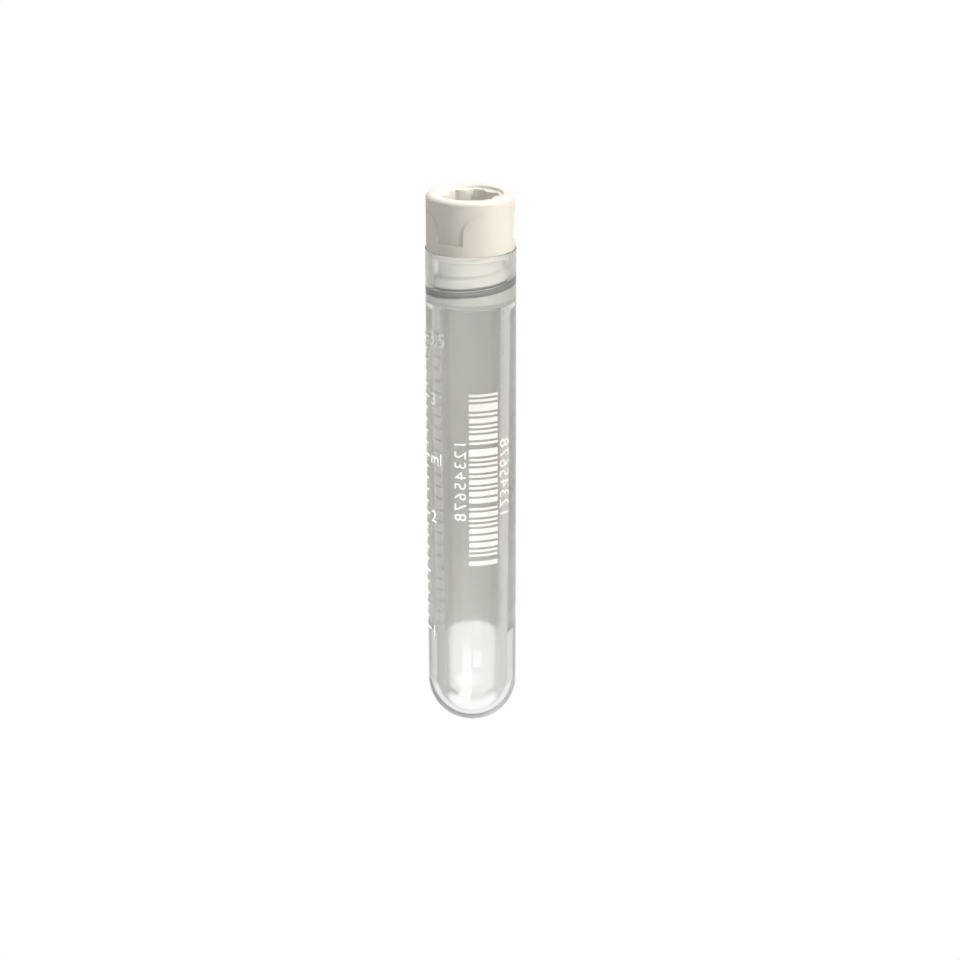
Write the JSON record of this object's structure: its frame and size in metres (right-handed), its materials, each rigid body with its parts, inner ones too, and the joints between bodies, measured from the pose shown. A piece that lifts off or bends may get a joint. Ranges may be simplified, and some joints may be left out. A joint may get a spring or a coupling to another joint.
{
  "type": "cryovial",
  "caption": "Clear round-bottomed screw-cap vial for frozen samples, with an internal thread, a printed scale and bar field, and a cap with a lobed drive socket.",
  "frame": {"origin": "centre of the cap's flat outer face, on which the vial stands", "axes": "+Z along the vial's axis from the cap to the tip of the dome, -Y at the front, where the bar field is"},
  "size_m": [0.0126, 0.0126, 0.0772],
  "materials": {
    "clear_plastic": "clear moulded polypropylene, glossy",
    "cap_plastic": "natural off-white moulded plastic, satin",
    "silicone": "translucent white silicone",
    "ink": "opaque white screen ink"
  },
  "bodies": {
    "cap": {"cap": "cap_plastic"},
    "seal": {"seal_ring": "silicone"},
    "tube": {"tube": "clear_plastic", "scale_marks": "ink", "code_bars": "ink", "writing_field": "ink"}
  },
  "joints": [
    {"name": "unscrew", "type": "hinge", "parent": "cap", "child": "seal", "pos_m": [0, 0, 0.00755], "axis": [0, 0, 1], "range_deg": [0, 2160]},
    {"name": "lift_off", "type": "slide", "parent": "seal", "child": "tube", "axis": [0, 0, 1], "range_m": [0, 0.01681]}
  ],
  "couplings": [
    {"joint": "lift_off", "follows": "unscrew", "m_per_rad": 0.00044563}
  ]
}
